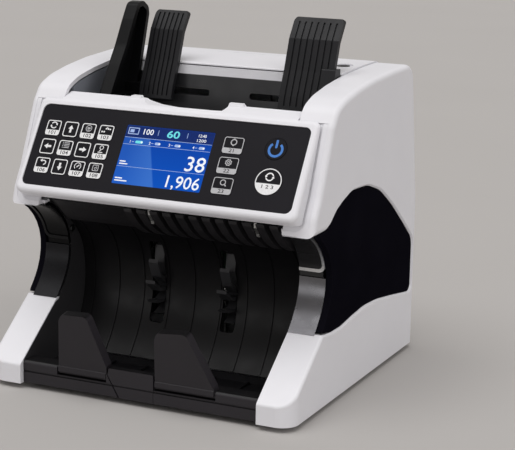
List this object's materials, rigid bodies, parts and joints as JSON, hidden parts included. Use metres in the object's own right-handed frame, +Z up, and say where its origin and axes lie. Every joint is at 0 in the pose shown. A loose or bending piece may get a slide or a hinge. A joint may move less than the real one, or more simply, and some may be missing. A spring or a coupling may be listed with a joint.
{
  "type": "banknote counting machine",
  "caption": "Desktop banknote counter: sloping key panel over a curved stacker mouth, feed hopper with sliding guides, folding stop plates and a hinged rear cover.",
  "frame": {"origin": "middle of the machine's outline on the table, on the plane the rubber feet stand on", "axes": "+X to the operator's right, +Y to the back, +Z up; the key panel and the stacker mouth face -Y"},
  "size_m": [0.246, 0.2434, 0.2764],
  "materials": {
    "white_housing": "fine satin moulded ABS",
    "black_gloss": "polished",
    "dark_strip": "satin dark grey metallic",
    "bright_trim": "satin",
    "frame_steel": "satin dark grey-blue",
    "dark_moulding": "fine texture",
    "panel_film": "smooth film",
    "key_plastic": "smooth",
    "restart_plastic": "smooth",
    "display": "display glass",
    "circuit_board": "solder mask",
    "sensor_glass": "polished",
    "roller_rubber": "fluted",
    "wheel_polymer": "smooth",
    "steel_shaft": "ground",
    "motor_case": "zinc plated",
    "supply_metal": "satin",
    "foot_rubber": "matte",
    "zinc_screw": "plated",
    "dark_guide": "satin"
  },
  "bodies": {
    "machine": {"side_shell_right": "white_housing", "side_shell_left": "white_housing", "side_panel_right": "black_gloss", "side_panel_left": "black_gloss", "side_frame_right": "frame_steel", "side_frame_left": "frame_steel", "mouth_strips_upper": "black_gloss", "mouth_strips_lower": "dark_strip", "mouth_trims": "bright_trim", "base_pan": "white_housing", "front_bar": "dark_moulding", "bar_centre": "dark_moulding", "stacker_tray": "dark_guide", "stacker_back": "dark_guide", "exit_comb": "dark_guide", "control_bezel": "white_housing", "panel_overlay": "panel_film", "display_lcd": "display", "panel_board": "circuit_board", "hopper_floor": "frame_steel", "drive_motor": "motor_case", "drive_belt": "roller_rubber", "sensor_bars": "sensor_glass", "main_board": "circuit_board", "power_supply": "supply_metal", "power_inlet": "dark_moulding", "rubber_feet": "foot_rubber", "case_screws": "zinc_screw"},
    "rear_door": {"rear_door": "white_housing"},
    "gap_knob": {"gap_screw": "zinc_screw"},
    "guide_right": {"rear_rest_right": "dark_guide"},
    "guide_left": {"side_guide_left": "dark_guide", "rear_rest_left": "dark_guide"},
    "stop_left": {"stop_plate_left": "dark_moulding"},
    "stop_right": {"stop_plate_right": "dark_moulding"},
    "rocker": {"power_rocker": "black_gloss"},
    "feed_roll": {"feed_shaft": "steel_shaft", "feed_rollers": "roller_rubber"},
    "carry_roll": {"carry_shaft": "steel_shaft", "carry_rollers": "roller_rubber"},
    "stacking_roll": {"stacking_shaft": "steel_shaft", "stacking_wheels": "wheel_polymer"},
    "motor_roll": {"motor_pulley": "steel_shaft"},
    "cap_key_1_1": {"key_1_1": "key_plastic"},
    "cap_key_1_2": {"key_1_2": "key_plastic"},
    "cap_key_1_3": {"key_1_3": "key_plastic"},
    "cap_key_1_4": {"key_1_4": "key_plastic"},
    "cap_key_2_1": {"key_2_1": "key_plastic"},
    "cap_key_2_2": {"key_2_2": "key_plastic"},
    "cap_key_2_3": {"key_2_3": "key_plastic"},
    "cap_key_2_4": {"key_2_4": "key_plastic"},
    "cap_key_3_1": {"key_3_1": "key_plastic"},
    "cap_key_3_2": {"key_3_2": "key_plastic"},
    "cap_key_3_3": {"key_3_3": "key_plastic"},
    "cap_key_3_4": {"key_3_4": "key_plastic"},
    "cap_side_key_1": {"side_key_1": "key_plastic"},
    "cap_side_key_2": {"side_key_2": "key_plastic"},
    "cap_side_key_3": {"side_key_3": "key_plastic"},
    "cap_power_key": {"power_key": "key_plastic"},
    "cap_restart_key": {"restart_key": "restart_plastic"}
  },
  "joints": [
    {"name": "rear_door_hinge", "type": "hinge", "parent": "machine", "child": "rear_door", "pos_m": [0, 0.11354, 0.07], "axis": [-1, 0, 0], "range_deg": [0, 80]},
    {"name": "gap_knob_turn", "type": "hinge", "parent": "rear_door", "child": "gap_knob", "pos_m": [0.0828, 0.05754, 0.233], "axis": [0, 0, 1], "range_deg": [-180, 180]},
    {"name": "guide_right_slide", "type": "slide", "parent": "machine", "child": "guide_right", "axis": [1, 0, 0], "range_m": [-0.025, 0]},
    {"name": "guide_left_slide", "type": "slide", "parent": "machine", "child": "guide_left", "axis": [1, 0, 0], "range_m": [0, 0.025]},
    {"name": "stop_plate_left_fold", "type": "hinge", "parent": "machine", "child": "stop_left", "pos_m": [0, -0.11135, 0.0182], "axis": [1, 0, 0], "range_deg": [0, 60]},
    {"name": "stop_plate_right_fold", "type": "hinge", "parent": "machine", "child": "stop_right", "pos_m": [0, -0.11135, 0.0182], "axis": [1, 0, 0], "range_deg": [0, 60]},
    {"name": "power_rocker_tilt", "type": "hinge", "parent": "machine", "child": "rocker", "pos_m": [0.038, 0.11725, 0.034], "axis": [1, 0, 0], "range_deg": [-10, 0]},
    {"name": "key_1_1_press", "type": "slide", "parent": "machine", "child": "cap_key_1_1", "axis": [0, 0.8393, -0.5437], "range_m": [0, 0.0005], "stiffness_N_per_m": 1000},
    {"name": "key_1_2_press", "type": "slide", "parent": "machine", "child": "cap_key_1_2", "axis": [0, 0.8393, -0.5437], "range_m": [0, 0.0005], "stiffness_N_per_m": 1000},
    {"name": "key_1_3_press", "type": "slide", "parent": "machine", "child": "cap_key_1_3", "axis": [0, 0.8393, -0.5437], "range_m": [0, 0.0005], "stiffness_N_per_m": 1000},
    {"name": "key_1_4_press", "type": "slide", "parent": "machine", "child": "cap_key_1_4", "axis": [0, 0.8393, -0.5437], "range_m": [0, 0.0005], "stiffness_N_per_m": 1000},
    {"name": "key_2_1_press", "type": "slide", "parent": "machine", "child": "cap_key_2_1", "axis": [0, 0.8393, -0.5437], "range_m": [0, 0.0005], "stiffness_N_per_m": 1000},
    {"name": "key_2_2_press", "type": "slide", "parent": "machine", "child": "cap_key_2_2", "axis": [0, 0.8393, -0.5437], "range_m": [0, 0.0005], "stiffness_N_per_m": 1000},
    {"name": "key_2_3_press", "type": "slide", "parent": "machine", "child": "cap_key_2_3", "axis": [0, 0.8393, -0.5437], "range_m": [0, 0.0005], "stiffness_N_per_m": 1000},
    {"name": "key_2_4_press", "type": "slide", "parent": "machine", "child": "cap_key_2_4", "axis": [0, 0.8393, -0.5437], "range_m": [0, 0.0005], "stiffness_N_per_m": 1000},
    {"name": "key_3_1_press", "type": "slide", "parent": "machine", "child": "cap_key_3_1", "axis": [0, 0.8393, -0.5437], "range_m": [0, 0.0005], "stiffness_N_per_m": 1000},
    {"name": "key_3_2_press", "type": "slide", "parent": "machine", "child": "cap_key_3_2", "axis": [0, 0.8393, -0.5437], "range_m": [0, 0.0005], "stiffness_N_per_m": 1000},
    {"name": "key_3_3_press", "type": "slide", "parent": "machine", "child": "cap_key_3_3", "axis": [0, 0.8393, -0.5437], "range_m": [0, 0.0005], "stiffness_N_per_m": 1000},
    {"name": "key_3_4_press", "type": "slide", "parent": "machine", "child": "cap_key_3_4", "axis": [0, 0.8393, -0.5437], "range_m": [0, 0.0005], "stiffness_N_per_m": 1000},
    {"name": "side_key_1_press", "type": "slide", "parent": "machine", "child": "cap_side_key_1", "axis": [0, 0.8393, -0.5437], "range_m": [0, 0.0005], "stiffness_N_per_m": 1000},
    {"name": "side_key_2_press", "type": "slide", "parent": "machine", "child": "cap_side_key_2", "axis": [0, 0.8393, -0.5437], "range_m": [0, 0.0005], "stiffness_N_per_m": 1000},
    {"name": "side_key_3_press", "type": "slide", "parent": "machine", "child": "cap_side_key_3", "axis": [0, 0.8393, -0.5437], "range_m": [0, 0.0005], "stiffness_N_per_m": 1000},
    {"name": "power_key_press", "type": "slide", "parent": "machine", "child": "cap_power_key", "axis": [0, 0.8393, -0.5437], "range_m": [0, 0.0005], "stiffness_N_per_m": 1000},
    {"name": "restart_key_press", "type": "slide", "parent": "machine", "child": "cap_restart_key", "axis": [0, 0.8393, -0.5437], "range_m": [0, 0.0005], "stiffness_N_per_m": 1000},
    {"name": "feed_spin", "type": "hinge", "parent": "machine", "child": "feed_roll", "pos_m": [0, -0.01685, 0.1623], "axis": [1, 0, 0], "continuous": true},
    {"name": "carry_spin", "type": "hinge", "parent": "machine", "child": "carry_roll", "pos_m": [0, -0.03295, 0.131], "axis": [1, 0, 0], "continuous": true},
    {"name": "stacking_spin", "type": "hinge", "parent": "machine", "child": "stacking_roll", "pos_m": [0, -0.00895, 0.07], "axis": [1, 0, 0], "continuous": true},
    {"name": "motor_spin", "type": "hinge", "parent": "machine", "child": "motor_roll", "pos_m": [0, 0.05504, 0.114], "axis": [1, 0, 0], "continuous": true}
  ],
  "couplings": [
    {"joint": "guide_left_slide", "follows": "guide_right_slide", "ratio": -1},
    {"joint": "carry_spin", "follows": "feed_spin", "ratio": 1.3333},
    {"joint": "stacking_spin", "follows": "feed_spin", "ratio": 0.85714},
    {"joint": "motor_spin", "follows": "feed_spin", "ratio": 1.7143}
  ]
}
